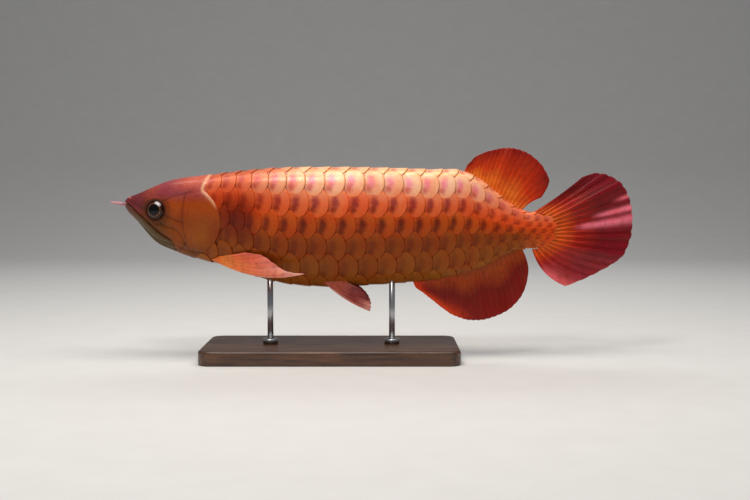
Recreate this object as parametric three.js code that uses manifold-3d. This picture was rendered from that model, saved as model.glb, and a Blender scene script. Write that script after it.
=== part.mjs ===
// Asian arowana, red variety: a still, life-size display model swimming level on a small stand.
// Millimetres, +Z up. The head points to -X and the fish's left side faces -Y.
// The fish is shaped in its own coordinates: s runs back from the tip of the lower jaw,
// y runs towards the fish's right side, and h is the height above the body's axis.
import * as THREE from "three";
import { mergeVertices } from "three/addons/utils/BufferGeometryUtils.js";
import Module from "manifold-3d";

const wasm = await Module();
wasm.setup();

// Driving dimensions.
const TOTAL_LENGTH = 500;
const BARBEL_REACH = 13.3;
const AXIS_HEIGHT = 128;
const CUT_GAP = 0.3;
const NOSE_ROUNDING = 5;
const TIP_HEIGHT = 23.5;
const TIP_END = 8;
const THINNEST = 0.2;
const SLIVER = 0.03;
const FIRST_STATION = 0.12;
const STATION_CROWDING = 1.55;
const ROUND_SIDES = 14;
const BODY_END = 428;
const TAIL_SWAY = 9;
const SWAY_START = 270;
const VENT = 280;
const VENT_LEAN = 6;

const EYE = { s: 33, h: 18.3, radius: 9, depth: 5, bulge: 1.9 };
const NOSTRIL = { s: 8.2, y: 4.6, h: 28.8, radius: 1.1, length: 3.2, buried: 1.2 };
const BARBEL = { s: 4.2, y: 2.9, h: 23.6, rise: 2.2, spread: 2.2, root: 1.15, tip: 0.55 };
const GILL_COVER = { raise: 0.7, depth: 2.6 };
const MAXILLA = { raise: 0.5, depth: 2.2 };

const STAND = {
  length: 250,
  width: 104,
  thick: 14,
  corner: 12,
  bevel: 2,
  centre: 202,
  rod: 3,
  clearance: 0.3,
  socket: 9,
  rods: [142, 262],
  intoFish: 12,
  collar: 7.5,
  collarHeight: 5,
};
const HOLE_RADIUS = STAND.rod + STAND.clearance;

// A smooth line through knots [[at, value], ...], as a function of the place along it.
function line(knots) {
  const slope = (i) => (knots[i + 1][1] - knots[i][1]) / (knots[i + 1][0] - knots[i][0]);
  const last = knots.length - 1;
  const tangent = (i) => {
    if (i === 0) return slope(0);
    if (i === last) return slope(last - 1);
    const before = knots[i][0] - knots[i - 1][0];
    const after = knots[i + 1][0] - knots[i][0];
    return (slope(i - 1) * after + slope(i) * before) / (before + after);
  };
  const tangents = knots.map((_, i) => tangent(i));
  return (x) => {
    const at = Math.min(Math.max(x, knots[0][0]), knots[last][0]);
    let i = 0;
    while (i < last - 1 && at > knots[i + 1][0]) i++;
    const width = knots[i + 1][0] - knots[i][0];
    const t = (at - knots[i][0]) / width;
    const rise = t * t * (3 - 2 * t);
    return (
      knots[i][1] * (1 - rise) +
      knots[i + 1][1] * rise +
      width * (t * (1 - t) * (1 - t) * tangents[i] - t * t * (1 - t) * tangents[i + 1])
    );
  };
}

// The body's outline from the side, its half width from above, and its section's shape.
const backLine = line([
  [0, 29], [10, 32.5], [45, 46.5], [80, 52], [150, 59.5], [200, 60.2], [300, 58],
  [331, 56.5], [348, 48.5], [364, 36], [380, 23.5], [394, 17], [408, 16], [428, 15],
]);
const bellyLine = line([
  [0, 19], [9, 10], [31, -14.5], [46, -22], [80, -33], [97, -36.5], [133, -49.5], [160, -55.5],
  [195, -58], [250, -55.8], [281, -53.5], [315, -49.5], [343, -42], [363, -33.5], [378, -25],
  [392, -21.3], [428, -21],
]);
const halfWidth = line([
  [0, 5.5], [8, 8.5], [20, 12.3], [45, 18], [75, 22], [105, 24], [160, 24.8], [220, 23.5],
  [280, 20], [330, 14.5], [370, 9.5], [395, 6.6], [412, 4.6], [428, 2.4],
]);
const widestShare = line([[0, 0.55], [30, 0.66], [80, 0.62], [150, 0.6], [300, 0.56], [428, 0.5]]);
const backPower = line([[0, 2.1], [30, 3], [90, 2.9], [160, 2.5], [300, 2.2], [428, 2.2]]);
const bellyPower = line([
  [0, 2], [40, 1.75], [90, 1.6], [200, 1.45], [290, 1.5], [380, 1.9], [428, 2.1],
]);

// Rounds the snout: 0 at its tip, 1 from NOSE_ROUNDING on.
function noseShare(s) {
  const left = 1 - Math.min(s / NOSE_ROUNDING, 1);
  return Math.sqrt(Math.max(0, 1 - left * left));
}

// A point of the body's surface grown by grow; round runs from 0 to 1 about the section.
function bodyPoint(s, round, grow) {
  const nose = noseShare(s);
  const above = Math.max((backLine(s) - TIP_HEIGHT) * nose + grow, THINNEST);
  const below = Math.min((bellyLine(s) - TIP_HEIGHT) * nose - grow, -THINNEST);
  const wide = Math.max(halfWidth(s) * nose + grow, THINNEST);
  const top = s < TIP_END ? TIP_HEIGHT + above : backLine(s) + grow;
  const bottom = s < TIP_END ? TIP_HEIGHT + below : bellyLine(s) - grow;
  const middle = bottom + (top - bottom) * widestShare(s);
  const angle = round * 2 * Math.PI;
  const across = Math.cos(angle);
  const up = Math.sin(angle);
  const power = up >= 0 ? backPower(s) : bellyPower(s);
  const reach = up >= 0 ? top - middle : middle - bottom;
  const bent = (x) => Math.sign(x) * Math.abs(x) ** (2 / power);
  return new THREE.Vector3(s, wide * bent(across), middle + reach * bent(up));
}

// A closed geometry from rings of points. A fan closes each end, or, where the rings run out and
// back as a sheet's do, a strip between their two sides.
function loft(rings, isSheet = false) {
  const count = rings[0].length;
  const points = rings.flat();
  const faces = [];
  for (let i = 0; i < rings.length - 1; i++) {
    for (let j = 0; j < count; j++) {
      const a = i * count + j;
      const b = i * count + ((j + 1) % count);
      faces.push(a, a + count, b, b, a + count, b + count);
    }
  }
  const close = (start, isLast) => {
    const add = (a, b, c) => faces.push(a, isLast ? c : b, isLast ? b : c);
    if (isSheet) {
      for (let j = 0; j < count / 2 - 1; j++) {
        const opposite = start + count - 1 - j;
        add(start + j, start + j + 1, opposite - 1);
        add(start + j, opposite - 1, opposite);
      }
      return;
    }
    const ring = points.slice(start, start + count);
    const centre = points.length;
    points.push(ring.reduce((sum, p) => sum.add(p), new THREE.Vector3()).divideScalar(count));
    for (let j = 0; j < count; j++) add(centre, start + j, start + ((j + 1) % count));
  };
  close(0, false);
  close((rings.length - 1) * count, true);
  return new THREE.BufferGeometry().setFromPoints(points).setIndex(faces);
}

// A geometry as a manifold-3d solid, turned to face outwards.
function solid(geometry) {
  const bare = geometry.clone();
  for (const name of Object.keys(bare.attributes)) {
    if (name !== "position") bare.deleteAttribute(name);
  }
  const merged = mergeVertices(bare, 1e-4);
  const triVerts = new Uint32Array(merged.index.array);
  const vertProperties = merged.attributes.position.array;
  const made = new wasm.Manifold(new wasm.Mesh({ numProp: 3, vertProperties, triVerts }));
  if (made.volume() >= 0) return made;
  for (let i = 0; i < triVerts.length; i += 3) {
    [triVerts[i + 1], triVerts[i + 2]] = [triVerts[i + 2], triVerts[i + 1]];
  }
  return new wasm.Manifold(new wasm.Mesh({ numProp: 3, vertProperties, triVerts }));
}

const FINE = { stations: 42, around: 22 };
const COARSE = { stations: 22, around: 16 };

// The body's solid, grown by grow all round. Stations crowd towards the snout.
function bodySolid(grow = 0, { stations, around } = FINE) {
  const rings = [];
  for (let i = 0; i <= stations; i++) {
    const s = FIRST_STATION + (BODY_END - FIRST_STATION) * (i / stations) ** STATION_CROWDING;
    const ring = [];
    for (let j = 0; j < around; j++) ring.push(bodyPoint(s, j / around, grow));
    rings.push(ring);
  }
  return solid(loft(rings));
}

// An outline in s and h, through its knots, as 2-D points.
function outline(knots, closed, steps) {
  const points = knots.map(([s, h]) => new THREE.Vector3(s, h, 0));
  const curve = new THREE.CatmullRomCurve3(points, closed, "centripetal");
  return curve.getPoints(steps).map((p) => new THREE.Vector2(p.x, p.y));
}

const THROUGH = 80;

// A prism right through the fish with that side outline.
function prism(points, depth = THROUGH) {
  const geometry = new THREE.ExtrudeGeometry(new THREE.Shape(points), {
    depth,
    bevelEnabled: false,
  });
  geometry.translate(0, 0, -depth / 2);
  geometry.rotateX(Math.PI / 2);
  return solid(geometry);
}

// A thin cut along a side line, right through the fish.
function ribbon(points, gap = CUT_GAP) {
  const normals = points.map((p, i) => {
    const before = points[Math.max(i - 1, 0)];
    const after = points[Math.min(i + 1, points.length - 1)];
    const along = after.clone().sub(before).normalize();
    return new THREE.Vector2(-along.y, along.x);
  });
  const side = (sign) => points.map((p, i) => p.clone().addScaledVector(normals[i], (sign * gap) / 2));
  return prism([...side(1), ...side(-1).reverse()]);
}

// The pieces that a cut leaves, from the snout backwards.
function pieces(cut) {
  const size = (m) => m.boundingBox();
  return cut.decompose().sort((a, b) => size(a).min[0] - size(b).min[0]);
}

// The part of a solid on one side of the middle plane.
function sideOf(whole, left) {
  const parts = whole.decompose();
  const centre = (m) => (m.boundingBox().min[1] + m.boundingBox().max[1]) / 2;
  const found = parts.filter((m) => centre(m) < 0 === left);
  return found.sort((a, b) => b.volume() - a.volume())[0];
}

// Side lines of the head.
const NAPE_AND_GILL = outline(
  [
    [91, 70], [86.5, 53], [81, 39], [85, 33.5], [91.5, 26], [95.7, 15], [96.7, 3], [93, -9],
    [84, -19.5], [72, -27], [64, -37],
  ],
  false,
  24,
);
const GAPE = outline(
  [[-8, 25.5], [3, 24.4], [12, 17.5], [24, 6.5], [36, -4.5], [47, -12.5], [51, -24], [50, -34]],
  false,
  16,
);
const GILL_COVER_OUTLINE = outline(
  [
    [66.5, 31], [77, 36.5], [83.5, 32.5], [90, 25], [94, 14], [94.9, 3], [91.5, -8], [82, -17.8],
    [71, -22], [67.5, -8], [65.5, 12],
  ],
  true,
  24,
);
const MAXILLA_OUTLINE = outline(
  [
    [8, 22.2], [19, 13.6], [31, 3.2], [43, -6], [49, -9], [52.5, -6.4], [49, -0.6], [38, 3.2],
    [27, 8], [18, 16.2],
  ],
  true,
  18,
);

// A plate lifted out of the head's wall within an outline, and what is left of the head.
function liftPlate(head, points, { raise, depth }) {
  const window = prism(points);
  const core = bodySolid(-depth, COARSE);
  const shell = bodySolid(raise).subtract(core).intersect(window);
  const grown = prism(grownOutline(points, CUT_GAP));
  const left = sideOf(shell, true);
  const right = sideOf(shell, false);
  const rest = head.subtract(grown.subtract(bodySolid(-depth - CUT_GAP, COARSE)));
  return { left, right, rest };
}

const MITRE_LEAST = 0.35;

// A closed outline moved outwards by distance.
function grownOutline(points, distance) {
  const open = points.at(-1).distanceTo(points[0]) < 1e-6 ? points.slice(0, -1) : points;
  const turn = Math.sign(THREE.ShapeUtils.area(open));
  return open.map((p, i) => {
    const before = open[(i + open.length - 1) % open.length];
    const after = open[(i + 1) % open.length];
    const into = p.clone().sub(before).normalize();
    const out = after.clone().sub(p).normalize();
    const along = into.clone().add(out).normalize();
    const reach = distance / Math.max(into.dot(along), MITRE_LEAST);
    return new THREE.Vector2(p.x + turn * along.y * reach, p.y - turn * along.x * reach);
  });
}

function ellipsoid(s, y, h, radius, depth) {
  const geometry = new THREE.SphereGeometry(1, 18, 10);
  geometry.scale(radius, depth, radius);
  geometry.translate(s, y, h);
  return solid(geometry);
}

// The body's half width on the side at a place seen from the side.
function sideReach(s, h) {
  let low = 0;
  let high = 0.25;
  const upper = h >= bodyPoint(s, 0, 0).z;
  const at = (round) => bodyPoint(s, upper ? round : -round, 0);
  for (let i = 0; i < 30; i++) {
    const middle = (low + high) / 2;
    if (upper === at(middle).z < h) low = middle;
    else high = middle;
  }
  return at(low).y;
}

// A tapered round feeler along a curve.
function feeler(points, rootRadius, tipRadius) {
  const sides = 7;
  const steps = 6;
  const curve = new THREE.CatmullRomCurve3(points);
  const frames = curve.computeFrenetFrames(steps, false);
  const rings = [];
  for (let i = 0; i <= steps; i++) {
    const centre = curve.getPointAt(i / steps);
    const radius = THREE.MathUtils.lerp(rootRadius, tipRadius, i / steps);
    const ring = [];
    for (let j = 0; j < sides; j++) {
      const angle = (j / sides) * 2 * Math.PI;
      ring.push(
        centre
          .clone()
          .addScaledVector(frames.normals[i], radius * Math.cos(angle))
          .addScaledVector(frames.binormals[i], radius * Math.sin(angle)),
      );
    }
    rings.push(ring);
  }
  return solid(loft(rings));
}

// A fin is a thin closed sheet. base(u) and margin(u) are 3-D points at the two ends of ray u,
// belly(u) is how far the ray's middle bows, and thickness runs from root to edge.
function finSolid({ base, margin, belly, thickness, rays, steps }) {
  const point = (u, v) =>
    base(u)
      .lerp(margin(u), v)
      .addScaledVector(belly(u), 4 * v * (1 - v));
  const normal = (u, v) => {
    const d = 0.01;
    const along = point(u, Math.min(v + d, 1)).sub(point(u, Math.max(v - d, 0)));
    const across = point(Math.min(u + d, 1), v).sub(point(Math.max(u - d, 0), v));
    return across.cross(along).normalize();
  };
  const face = (sign) => {
    const rows = [];
    for (let i = 0; i <= rays; i++) {
      const row = [];
      for (let j = 0; j <= steps; j++) {
        const u = i / rays;
        const v = j / steps;
        const half = THREE.MathUtils.lerp(thickness[0], thickness[1], Math.sqrt(v)) / 2;
        row.push(point(u, v).addScaledVector(normal(u, v), sign * half));
      }
      rows.push(row);
    }
    return rows;
  };
  const front = face(1);
  const back = face(-1);
  const rings = front.map((row, i) => [...row, ...back[i].slice().reverse()]);
  return solid(loft(rings, true));
}

// A 3-D line through knots [[u, s, y, h], ...].
function path(knots) {
  const [s, y, h] = [1, 2, 3].map((k) => line(knots.map((knot) => [knot[0], knot[k]])));
  return (u) => new THREE.Vector3(s(u), y(u), h(u));
}

const ROOT_DEPTH = 4;

// Unpaired fins stand on the body's outline and start ROOT_DEPTH inside it.
const dorsalFin = {
  base: (u) => {
    const s = 331 + 57 * u;
    return new THREE.Vector3(s, 0, backLine(s) - ROOT_DEPTH);
  },
  margin: path([
    [0, 336, 0, 62.5], [0.15, 345, 0.6, 70.5], [0.35, 362, 1.2, 76.8], [0.52, 378, 1.2, 78.6],
    [0.7, 397, 0, 72.5], [0.85, 412, -1.4, 57], [0.95, 415.5, -1.6, 42], [1, 409, -0.8, 30],
  ]),
  belly: (u) => new THREE.Vector3(-1.5 * u, 1.2 * Math.sin(u * 9), 1.5 * u),
  thickness: [4.4, 0.9],
  rays: 16,
  steps: 4,
};
const analFin = {
  base: (u) => {
    const s = 281 + 108 * u;
    return new THREE.Vector3(s, 0, bellyLine(s) + ROOT_DEPTH);
  },
  margin: path([
    [0, 285, 0, -58], [0.15, 299, 0.5, -69], [0.35, 322, 1, -86], [0.5, 340, 0.6, -91.5],
    [0.66, 362, -0.6, -88.5], [0.8, 382, -1.6, -77], [0.92, 394, -1.6, -58], [1, 396.5, -1, -40],
  ]),
  belly: (u) => new THREE.Vector3(1.5 * u, 1.2 * Math.sin(u * 10 + 1), -1.5 * u),
  thickness: [4.6, 0.9],
  rays: 18,
  steps: 4,
};

// The tail fin fans out from the rounded end of the fleshy tail, and its web is gently pleated.
const TAIL_BASE = { s: 400, h: -3, reach: 26, half: 19.3, rayInset: 1.5, spread: 1.35, trim: 6 };
const tailFin = {
  base: (u) => {
    const angle = (0.5 - u) * Math.PI;
    const reach = TAIL_BASE.reach - ROOT_DEPTH;
    const half = TAIL_BASE.half - TAIL_BASE.rayInset;
    const along = TAIL_BASE.s + reach * Math.cos(angle);
    return new THREE.Vector3(along, 0, TAIL_BASE.h + half * Math.sin(angle));
  },
  margin: path([
    [0, 450, 1, 50.5], [0.08, 463, 2.4, 54], [0.17, 477, 1.4, 51.5], [0.27, 490, -1.4, 42],
    [0.37, 498, 1.6, 27], [0.48, 500, -1.8, 9], [0.6, 499, 1.6, -11], [0.71, 490, -1.2, -29],
    [0.82, 472, 1.6, -41.5], [0.92, 452, 0, -51], [1, 434, -1, -58],
  ]),
  belly: (u) => {
    const lower = u ** 3;
    const upper = (1 - u) ** 3;
    return new THREE.Vector3(-5 * lower, 1.6 * Math.sin(u * 17), -4 * lower - 1.6 * upper);
  },
  thickness: [3, 0.9],
  rays: 26,
  steps: 4,
};

// Paired fins, for the side given by sign: -1 is the fish's left.
const pectoralFin = (sign) => ({
  base: path([[0, 86, sign * 6, -30.5], [1, 95, sign * 8.5, -27]]),
  margin: path([
    [0, 179.4, sign * 31, -42.1], [0.18, 167, sign * 29, -41.3], [0.35, 157, sign * 26.5, -38.5],
    [0.55, 147, sign * 23.5, -31.8], [0.75, 137, sign * 21.2, -25.6], [1, 120, sign * 18.8, -22.6],
  ]),
  belly: (u) => new THREE.Vector3(0, sign * (1.5 - u), -9.6 * (1 - u) ** 1.2),
  thickness: [1.8, 0.9],
  rays: 9,
  steps: 6,
});
const pelvicFin = (sign) => ({
  base: path([[0, 195, sign * 3.8, -53], [1, 218, sign * 4.2, -52]]),
  margin: path([
    [0, 240.5, sign * 14.5, -80.5], [0.25, 241.5, sign * 14, -76], [0.6, 238.5, sign * 12.5, -67.5],
    [1, 231, sign * 9.5, -58.5],
  ]),
  belly: (u) => new THREE.Vector3(-1.5, sign * 0.8, -2.4 * (1 - u)),
  thickness: [2.4, 0.9],
  rays: 6,
  steps: 4,
});

// The fleshy tail ends in the arc where the tail fin's rays begin.
function tailBaseCut() {
  const arc = [];
  const steps = 20;
  const sweep = 1.25 * Math.PI;
  for (let i = 0; i <= steps; i++) {
    const angle = (i / steps - 0.5) * sweep;
    const reach = TAIL_BASE.reach * Math.cos(angle);
    const half = TAIL_BASE.half * TAIL_BASE.spread * Math.sin(angle);
    arc.push(new THREE.Vector2(TAIL_BASE.s + reach, TAIL_BASE.h + half));
  }
  return arc;
}

// Every piece of the fish by name, in the fish's own coordinates.
const SOLIDS = new Map();

// The body, parted by thin cuts.
const sockets = STAND.rods.map((s) => {
  const length = 2 * THROUGH;
  const hole = new THREE.CylinderGeometry(HOLE_RADIUS, HOLE_RADIUS, length, ROUND_SIDES);
  hole.rotateX(Math.PI / 2);
  hole.translate(s, 0, bellyLine(s) + STAND.intoFish - length / 2);
  return solid(hole);
});
const wholeBody = sockets.reduce((body, hole) => body.subtract(hole), bodySolid());
const [headBlock, afterHead] = pieces(wholeBody.subtract(ribbon(NAPE_AND_GILL)));
const ventLine = [
  new THREE.Vector2(VENT - VENT_LEAN, THROUGH),
  new THREE.Vector2(VENT, -THROUGH),
];
const [trunk, afterVent] = pieces(afterHead.subtract(ribbon(ventLine)));
const [tail] = pieces(afterVent.subtract(ribbon(tailBaseCut())));
SOLIDS.set("trunk", trunk);
SOLIDS.set("tail", tail);

// The head: lower jaw, gill covers, upper jaw plates and eyes come out of it.
const [jaw, skullBlock] = pieces(headBlock.subtract(ribbon(GAPE)));
SOLIDS.set("lower_jaw", jaw);
const gills = liftPlate(skullBlock, GILL_COVER_OUTLINE, GILL_COVER);
const lips = liftPlate(gills.rest, MAXILLA_OUTLINE, MAXILLA);
let skull = lips.rest;
const eyeCentre = sideReach(EYE.s, EYE.h) + EYE.bulge - EYE.depth;
for (const [name, sign] of [["left", -1], ["right", 1]]) {
  SOLIDS.set("gill_cover_" + name, gills[name]);
  SOLIDS.set("upper_jaw_plate_" + name, lips[name]);
  const y = sign * eyeCentre;
  SOLIDS.set("eye_" + name, ellipsoid(EYE.s, y, EYE.h, EYE.radius, EYE.depth));
  const socket = ellipsoid(EYE.s, y, EYE.h, EYE.radius + CUT_GAP, EYE.depth + CUT_GAP);
  skull = skull.subtract(socket);
}
SOLIDS.set("head", pieces(skull)[0]);

// Nostril tubes and chin barbels start just clear of the skin.
const grownBody = bodySolid(CUT_GAP);
for (const [name, sign] of [["left", -1], ["right", 1]]) {
  const root = new THREE.Vector3(NOSTRIL.s, sign * NOSTRIL.y, NOSTRIL.h - NOSTRIL.buried);
  const lean = new THREE.Vector3(-0.75, sign * 0.45, 1).normalize();
  const tip = root.clone().addScaledVector(lean, NOSTRIL.length + NOSTRIL.buried);
  const tube = feeler([root, root.clone().lerp(tip, 0.5), tip], NOSTRIL.radius, NOSTRIL.radius * 0.8);
  SOLIDS.set("nostril_" + name, pieces(tube.subtract(grownBody))[0]);

  const barbelAt = (share) =>
    new THREE.Vector3(
      THREE.MathUtils.lerp(BARBEL.s, -BARBEL_REACH, share),
      sign * (BARBEL.y + BARBEL.spread * share),
      BARBEL.h + BARBEL.rise * share * share,
    );
  const barbel = feeler([barbelAt(0), barbelAt(0.5), barbelAt(1)], BARBEL.root, BARBEL.tip);
  SOLIDS.set("barbel_" + name, pieces(barbel.subtract(grownBody))[0]);
}

// The fins, trimmed to stand just clear of the body.
const largest = (m) => m.decompose().sort((a, b) => b.volume() - a.volume())[0];
SOLIDS.set("dorsal_fin", largest(finSolid(dorsalFin).subtract(grownBody)));
SOLIDS.set("anal_fin", largest(finSolid(analFin).subtract(grownBody)));
const tailTrim = prism(tailBaseCut()).intersect(bodySolid(TAIL_BASE.trim)).add(tail);
const tailFinSolid = finSolid(tailFin)
  .subtract(ribbon(tailBaseCut(), 2 * CUT_GAP))
  .subtract(tailTrim);
SOLIDS.set("tail_fin", largest(tailFinSolid));
for (const [name, sign] of [["left", -1], ["right", 1]]) {
  SOLIDS.set("pectoral_fin_" + name, largest(finSolid(pectoralFin(sign)).subtract(grownBody)));
  SOLIDS.set("pelvic_fin_" + name, largest(finSolid(pelvicFin(sign)).subtract(grownBody)));
}

// How far the swimming bend carries the fish's middle towards its right.
function sway(s) {
  const along = Math.max(0, (s - SWAY_START) / (TOTAL_LENGTH - SWAY_START));
  return TAIL_SWAY * along * along;
}

// A solid as a three.js geometry with the swimming bend.
function geometryOf(made, bend = true) {
  const mesh = made.getMesh();
  const positions = new Float32Array(mesh.numVert * 3);
  for (let i = 0; i < mesh.numVert; i++) {
    positions.set(mesh.vertProperties.subarray(i * mesh.numProp, i * mesh.numProp + 3), i * 3);
    if (bend) positions[i * 3 + 1] += sway(positions[i * 3]);
  }
  return new THREE.BufferGeometry()
    .setAttribute("position", new THREE.BufferAttribute(positions, 3))
    .setIndex(new THREE.BufferAttribute(mesh.triVerts, 1));
}

// Finishes, from the photograph.
const finish = (color, roughness, metalness = 0) =>
  new THREE.MeshStandardMaterial({ color, roughness, metalness });
const MATERIALS = {
  skin: finish(0xc4401c, 0.38),
  head: finish(0xa8542a, 0.36),
  fin: finish(0xb8271c, 0.42),
  barbel: finish(0xc9788a, 0.45),
  eye: finish(0x2a1a16, 0.08),
  wood: finish(0x3b2417, 0.45),
  steel: finish(0xb9bcc0, 0.28, 1),
};
const materialOf = (name) => {
  if (name.includes("fin")) return MATERIALS.fin;
  if (name.startsWith("eye")) return MATERIALS.eye;
  if (name.startsWith("barbel")) return MATERIALS.barbel;
  if (name === "trunk" || name === "tail") return MATERIALS.skin;
  return MATERIALS.head;
};

// The stand: a base with rounded corners, two rods in blind holes, and a collar round each rod.
function standBase() {
  const shape = new THREE.Shape();
  const x = STAND.length / 2 - STAND.bevel;
  const y = STAND.width / 2 - STAND.bevel;
  const r = STAND.corner;
  shape.moveTo(-x + r, -y);
  shape.lineTo(x - r, -y);
  shape.absarc(x - r, -y + r, r, -Math.PI / 2, 0);
  shape.lineTo(x, y - r);
  shape.absarc(x - r, y - r, r, 0, Math.PI / 2);
  shape.lineTo(-x + r, y);
  shape.absarc(-x + r, y - r, r, Math.PI / 2, Math.PI);
  shape.lineTo(-x, -y + r);
  shape.absarc(-x + r, -y + r, r, Math.PI, 1.5 * Math.PI);
  const block = new THREE.ExtrudeGeometry(shape, {
    depth: STAND.thick - 2 * STAND.bevel,
    bevelThickness: STAND.bevel,
    bevelSize: STAND.bevel,
    bevelSegments: 1,
    curveSegments: 4,
  });
  block.translate(STAND.centre, 0, STAND.bevel);
  return STAND.rods.reduce((base, s) => {
    const hole = new THREE.CylinderGeometry(HOLE_RADIUS, HOLE_RADIUS, 2 * STAND.socket, ROUND_SIDES);
    hole.rotateX(Math.PI / 2);
    hole.translate(s, 0, STAND.thick);
    return base.subtract(solid(hole));
  }, solid(block));
}

function standRod(s) {
  const low = STAND.thick - STAND.socket + STAND.clearance;
  const high = AXIS_HEIGHT + bellyLine(s) + STAND.intoFish - STAND.clearance;
  const rod = new THREE.CylinderGeometry(STAND.rod, STAND.rod, high - low, ROUND_SIDES);
  rod.rotateX(Math.PI / 2);
  rod.translate(s, 0, (low + high) / 2);
  return rod;
}

function standCollar(s) {
  const low = STAND.thick + STAND.clearance;
  const high = low + STAND.collarHeight;
  const profile = [
    [HOLE_RADIUS, low], [STAND.collar, low], [STAND.collar, high - STAND.bevel],
    [STAND.collar - STAND.bevel, high], [HOLE_RADIUS, high], [HOLE_RADIUS, low],
  ].map(([r, z]) => new THREE.Vector2(r, z));
  const collar = new THREE.LatheGeometry(profile, 18);
  collar.rotateX(Math.PI / 2);
  collar.translate(s, 0, 0);
  return collar;
}

// The whole model, with the origin under the middle of its length.
const model = new THREE.Group();
model.position.x = -(TOTAL_LENGTH - BARBEL_REACH) / 2;
const fish = new THREE.Group();
fish.position.z = AXIS_HEIGHT;
model.add(fish);
for (const [name, made] of SOLIDS) {
  const mesh = new THREE.Mesh(geometryOf(made.simplify(SLIVER)), materialOf(name));
  mesh.name = name;
  fish.add(mesh);
}

function addStandPiece(name, geometry, material) {
  const mesh = new THREE.Mesh(geometry, material);
  mesh.name = name;
  model.add(mesh);
}
addStandPiece("stand_base", geometryOf(standBase(), false), MATERIALS.wood);
["front", "rear"].forEach((place, i) => {
  addStandPiece("stand_rod_" + place, standRod(STAND.rods[i]), MATERIALS.steel);
  addStandPiece("stand_collar_" + place, standCollar(STAND.rods[i]), MATERIALS.steel);
});

export default model;
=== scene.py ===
import math

import bpy
import numpy as np
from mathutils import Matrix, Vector

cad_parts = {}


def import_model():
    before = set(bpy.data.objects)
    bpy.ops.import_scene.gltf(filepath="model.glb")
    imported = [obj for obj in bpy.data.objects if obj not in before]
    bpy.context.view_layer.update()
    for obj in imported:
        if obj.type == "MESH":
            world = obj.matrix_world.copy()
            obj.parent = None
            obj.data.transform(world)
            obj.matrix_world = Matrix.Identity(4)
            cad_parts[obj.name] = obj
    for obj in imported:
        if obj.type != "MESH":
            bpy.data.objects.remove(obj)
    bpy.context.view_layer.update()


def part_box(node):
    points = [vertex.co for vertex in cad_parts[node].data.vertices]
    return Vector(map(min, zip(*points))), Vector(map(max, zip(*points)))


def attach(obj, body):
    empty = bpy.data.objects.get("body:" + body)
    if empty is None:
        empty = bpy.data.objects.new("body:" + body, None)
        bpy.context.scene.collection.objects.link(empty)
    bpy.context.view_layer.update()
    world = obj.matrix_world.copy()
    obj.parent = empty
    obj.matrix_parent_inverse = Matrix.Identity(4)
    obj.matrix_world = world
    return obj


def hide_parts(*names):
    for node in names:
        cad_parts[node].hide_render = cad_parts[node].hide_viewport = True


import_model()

# The fish is shaped in the same coordinates as its solids, in millimetres: s runs back from the
# tip of the lower jaw, y towards the fish's right, and h up from the body's axis.
LENGTH = 500.0
BARBEL_REACH = 13.3
AXIS_HEIGHT = 128.0
BODY_END = 428.0
NOSE_ROUNDING = 5.0
TIP_HEIGHT = 23.5
TAIL_SWAY = 9.0
SWAY_START = 270.0
COAT_DEPTH = 0.9

EYE = {"s": 33.0, "h": 18.3, "radius": 9.6, "depth": 5.4, "bulge": 2.3, "turn": 12.0}
TAIL_BASE = {"s": 400.0, "h": -3.0, "reach": 26.0, "half": 19.3}
ROOT_DEPTH = 4.0
SIDES = (("left", -1), ("right", 1))

rng = np.random.default_rng(7)


def world(points):
    """Fish coordinates to metres in the shared frame, with the swimming bend."""
    points = np.asarray(points, float)
    along = np.maximum(0, (points[..., 0] - SWAY_START) / (LENGTH - SWAY_START))
    out = points.copy()
    out[..., 0] -= (LENGTH - BARBEL_REACH) / 2
    out[..., 1] += TAIL_SWAY * along * along
    out[..., 2] += AXIS_HEIGHT
    return out / 1000


def line(*knots):
    """A smooth line through (at, value) knots, as a function of the place along it."""
    at, value = np.array(knots, float).T
    width = np.diff(at)
    slope = np.diff(value) / width
    tangent = np.concatenate([slope[:1], slope[:-1] * 0, slope[-1:]])
    tangent[1:-1] = (slope[:-1] * width[1:] + slope[1:] * width[:-1]) / (width[:-1] + width[1:])

    def read(x):
        x = np.clip(x, at[0], at[-1])
        i = np.clip(np.searchsorted(at, x, side="right") - 1, 0, len(at) - 2)
        t = (x - at[i]) / width[i]
        rise = t * t * (3 - 2 * t)
        bend = t * (1 - t) ** 2 * tangent[i] - t * t * (1 - t) * tangent[i + 1]
        return value[i] * (1 - rise) + value[i + 1] * rise + width[i] * bend

    return read


def step(x, low, high):
    """Rises smoothly from 0 at low to 1 at high."""
    t = np.clip((x - low) / (high - low), 0, 1)
    return t * t * (3 - 2 * t)


def fade(x, low, high):
    """Falls smoothly from 1 at low to 0 at high."""
    return 1 - step(x, low, high)


def bell(x, width):
    """1 at 0, falling away on both sides."""
    return np.exp(-((x / width) ** 2))


def mix(a, b, share):
    return a + (b - a) * np.asarray(share)[..., None]


# The body's outline from the side, its half width from above, and its section's shape.
back_line = line(
    (0, 29), (10, 32.5), (45, 46.5), (80, 52), (150, 59.5), (200, 60.2), (300, 58),
    (331, 56.5), (348, 48.5), (364, 36), (380, 23.5), (394, 17), (408, 16), (428, 15),
)
belly_line = line(
    (0, 19), (9, 10), (31, -14.5), (46, -22), (80, -33), (97, -36.5), (133, -49.5), (160, -55.5),
    (195, -58), (250, -55.8), (281, -53.5), (315, -49.5), (343, -42), (363, -33.5), (378, -25),
    (392, -21.3), (428, -21),
)
half_width = line(
    (0, 5.5), (8, 8.5), (20, 12.3), (45, 18), (75, 22), (105, 24), (160, 24.8), (220, 23.5),
    (280, 20), (330, 14.5), (370, 9.5), (395, 6.4), (412, 3.9), (428, 1.3),
)
widest_share = line((0, 0.55), (30, 0.66), (80, 0.62), (150, 0.6), (300, 0.56), (428, 0.5))
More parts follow.
